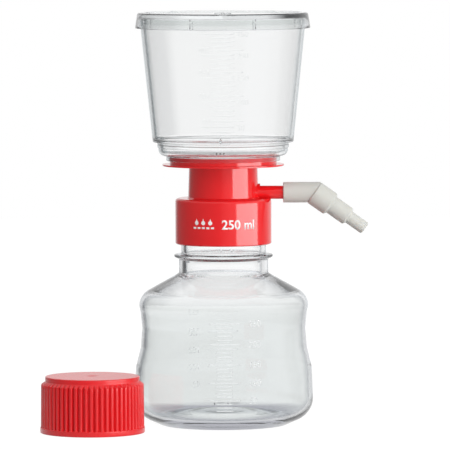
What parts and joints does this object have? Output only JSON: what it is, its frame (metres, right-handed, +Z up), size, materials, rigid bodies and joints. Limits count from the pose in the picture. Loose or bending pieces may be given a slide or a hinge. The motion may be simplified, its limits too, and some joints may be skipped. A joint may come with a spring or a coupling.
{
  "type": "vacuum filtration unit",
  "caption": "Clear graduated funnel with lid on a red threaded neck adapter with a side hose connector, over a clear waisted bottle, with the bottle's red ribbed cap beside it.",
  "frame": {"origin": "centre of the bottle's foot, on the surface it stands on", "axes": "+Z up along the bottle's axis, +X along the vacuum side arm"},
  "size_m": [0.1631, 0.1096, 0.2061],
  "materials": {
    "clear_plastic": "clear moulded polystyrene, polished",
    "red_plastic": "moulded polyethylene, satin",
    "natural_plastic": "natural unfilled polypropylene, slightly translucent",
    "gasket_rubber": "soft flat silicone ring",
    "membrane": "white porous filter membrane",
    "white_wool": "loose white wool"
  },
  "bodies": {
    "receiver": {"bottle": "clear_plastic", "storage_cap": "red_plastic"},
    "thread_rise": {"bottle_gasket": "gasket_rubber"},
    "filter_head": {"neck_adapter": "red_plastic", "vent_plug": "white_wool", "membrane": "membrane", "funnel": "clear_plastic"},
    "lid": {"lid": "clear_plastic"},
    "hose_end": {"hose_connector": "natural_plastic"}
  },
  "joints": [
    {"name": "unscrew_rise", "type": "slide", "parent": "receiver", "child": "thread_rise", "axis": [0, 0, 1], "range_m": [0, 0.006]},
    {"name": "unscrew_turn", "type": "hinge", "parent": "thread_rise", "child": "filter_head", "pos_m": [0, 0, 0.1096], "axis": [0, 0, 1], "range_deg": [0, 540]},
    {"name": "lid_lift", "type": "slide", "parent": "filter_head", "child": "lid", "axis": [0, 0, 1], "range_m": [0, 0.06]},
    {"name": "connector_swivel", "type": "hinge", "parent": "filter_head", "child": "hose_end", "pos_m": [0.0385, 0, 0.1161], "axis": [1, 0, 0], "continuous": true}
  ],
  "couplings": [
    {"joint": "unscrew_rise", "follows": "unscrew_turn", "m_per_rad": 0.0006366}
  ]
}
